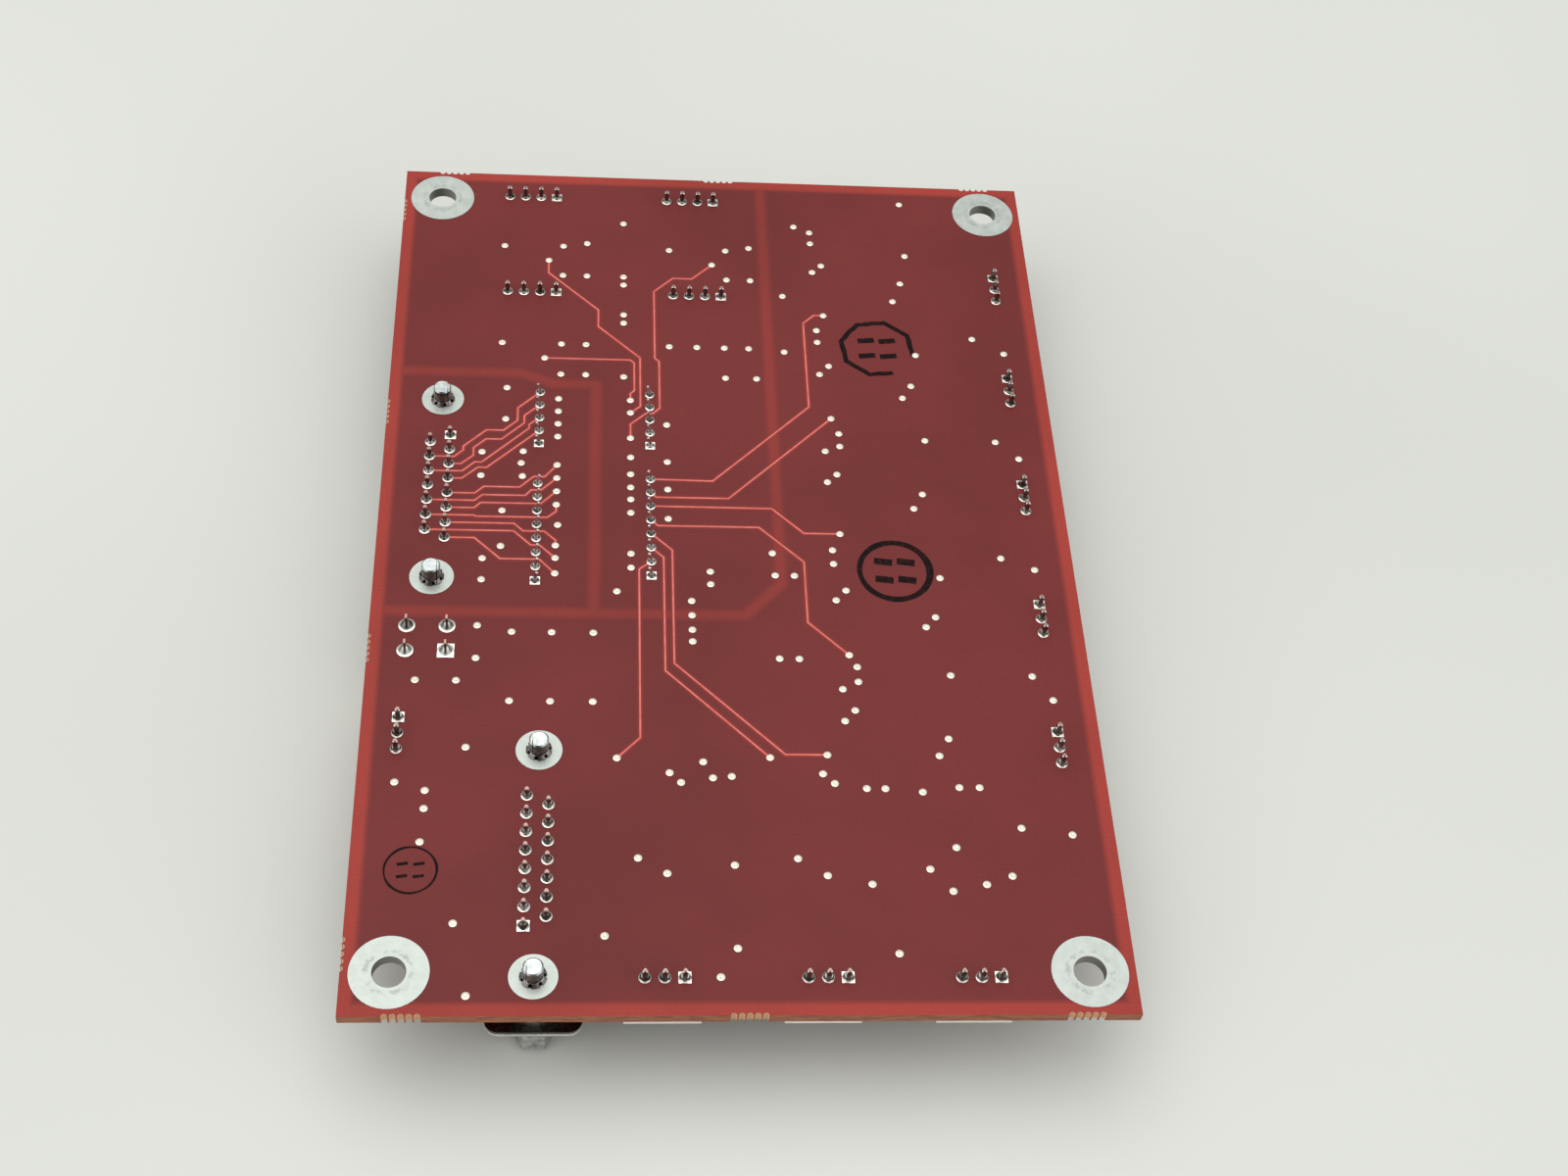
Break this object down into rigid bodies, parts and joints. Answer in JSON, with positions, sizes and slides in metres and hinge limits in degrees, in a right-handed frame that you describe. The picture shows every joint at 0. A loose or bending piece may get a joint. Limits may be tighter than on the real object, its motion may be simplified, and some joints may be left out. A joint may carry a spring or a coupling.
{
  "type": "printed circuit board",
  "caption": "Red printed circuit board with corner mounting holes, two multi-way sockets, rows of wire headers and a power header, solder side up.",
  "frame": {"origin": "centre of the board's outline in plan, at the level of the lowest point, the mouths of the multi-way sockets", "axes": "+X along the short side, +Y along the long side away from the edge with the three headers in a row, +Z out of the solder side"},
  "size_m": [0.1, 0.15, 0.0191],
  "materials": {
    "lacquered_laminate": "red solder mask over woven glass laminate, half gloss",
    "lacquered_copper": "copper strip under red solder mask",
    "tinned_copper": "bright uneven solder tinning",
    "tinned_steel": "tinned sheet steel",
    "plated_steel": "turned steel, plated",
    "black_moulding": "black glass-filled moulding",
    "gilt_contact": "turned brass with a thin gilt finish",
    "tinned_brass": "square drawn wire, tinned",
    "tinned_lead": "stamped lead, tinned",
    "white_nylon": "natural white nylon",
    "network_coating": "black moulded resin",
    "chip_moulding": "black moulded epoxy",
    "capacitor_moulding": "yellow moulded epoxy",
    "resistor_ceramic": "white ceramic chip"
  },
  "bodies": {
    "root": {"board": "lacquered_laminate", "mounting_lands": "tinned_copper", "lock_lands": "tinned_copper", "signal_traces": "lacquered_copper", "lower_vias": "tinned_copper", "middle_vias": "tinned_copper", "right_vias": "tinned_copper", "top_vias": "tinned_copper", "socket_solder": "tinned_copper", "header_solder": "tinned_copper", "power_solder": "tinned_copper", "network_solder": "tinned_copper", "left_socket_front_shell": "tinned_steel", "left_socket_rear_shell": "tinned_steel", "left_socket_insulator": "black_moulding", "left_socket_contacts": "gilt_contact", "left_socket_board_locks": "plated_steel", "left_socket_jackscrews": "plated_steel", "lower_socket_front_shell": "tinned_steel", "lower_socket_rear_shell": "tinned_steel", "lower_socket_insulator": "black_moulding", "lower_socket_contacts": "gilt_contact", "lower_socket_board_locks": "plated_steel", "lower_socket_jackscrews": "plated_steel", "input_header_1": "white_nylon", "input_header_2": "white_nylon", "input_header_3": "white_nylon", "input_header_4": "white_nylon", "input_header_pins": "tinned_brass", "output_header_1": "white_nylon", "output_header_2": "white_nylon", "output_header_3": "white_nylon", "output_header_4": "white_nylon", "output_header_5": "white_nylon", "output_header_6": "white_nylon", "output_header_7": "white_nylon", "output_header_8": "white_nylon", "output_header_pins": "tinned_brass", "sensor_header": "white_nylon", "sensor_header_pins": "tinned_brass", "power_header": "white_nylon", "power_header_pins": "tinned_brass", "upper_left_network": "network_coating", "lower_left_network": "network_coating", "upper_right_network": "network_coating", "lower_right_network": "network_coating", "network_leads": "tinned_lead", "isolators": "chip_moulding", "isolator_leads": "tinned_lead", "input_chips": "chip_moulding", "driver_chips": "chip_moulding", "chip_leads": "tinned_lead", "output_transistors": "chip_moulding", "transistor_leads": "tinned_lead", "bulk_capacitors": "capacitor_moulding", "capacitor_terminals": "tinned_lead", "chip_resistors": "resistor_ceramic", "resistor_caps": "tinned_lead"}
  },
  "joints": []
}
